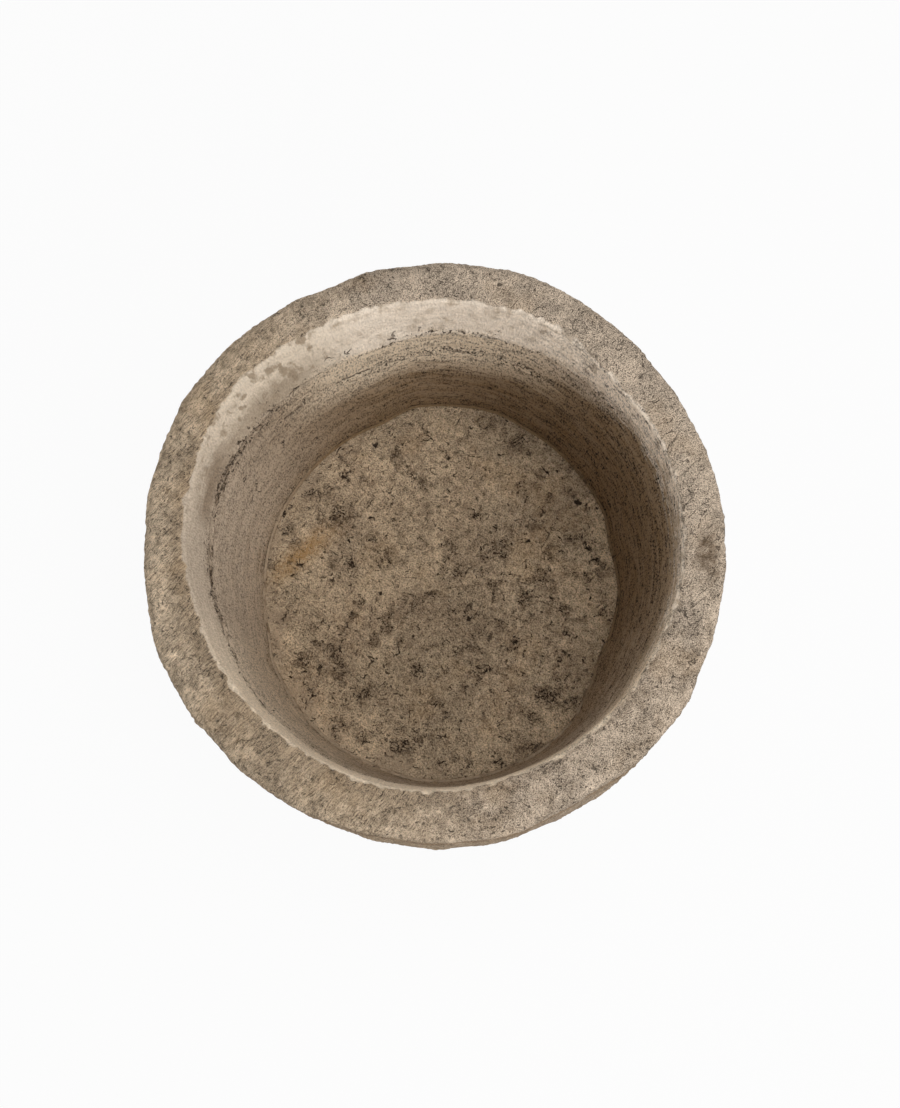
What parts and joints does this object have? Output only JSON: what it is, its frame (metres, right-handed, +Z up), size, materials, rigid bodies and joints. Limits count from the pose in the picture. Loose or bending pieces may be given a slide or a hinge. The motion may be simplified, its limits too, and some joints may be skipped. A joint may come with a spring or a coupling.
{
  "type": "round stone trough planter",
  "caption": "Round hand-hewn pale stone trough with a worn rim, a tapered hollow and a floor slab let into the foot of its wall; stands on a flat base and holds plants.",
  "frame": {"origin": "centre of the underside, on the surface that the trough stands on", "axes": "+Z up along the trough's axis; -Y towards the side that the picture shows nearest, +X to that view's right"},
  "size_m": [0.5995, 0.5996, 0.35],
  "materials": {
    "wall_stone": "hewn and weathered, matt",
    "floor_stone": "rubbed flat and pitted, matt",
    "lime_mortar": "raked back, matt"
  },
  "bodies": {
    "root": {"wall_ring": "wall_stone", "floor_slab": "floor_stone", "floor_bedding": "lime_mortar"}
  },
  "joints": []
}
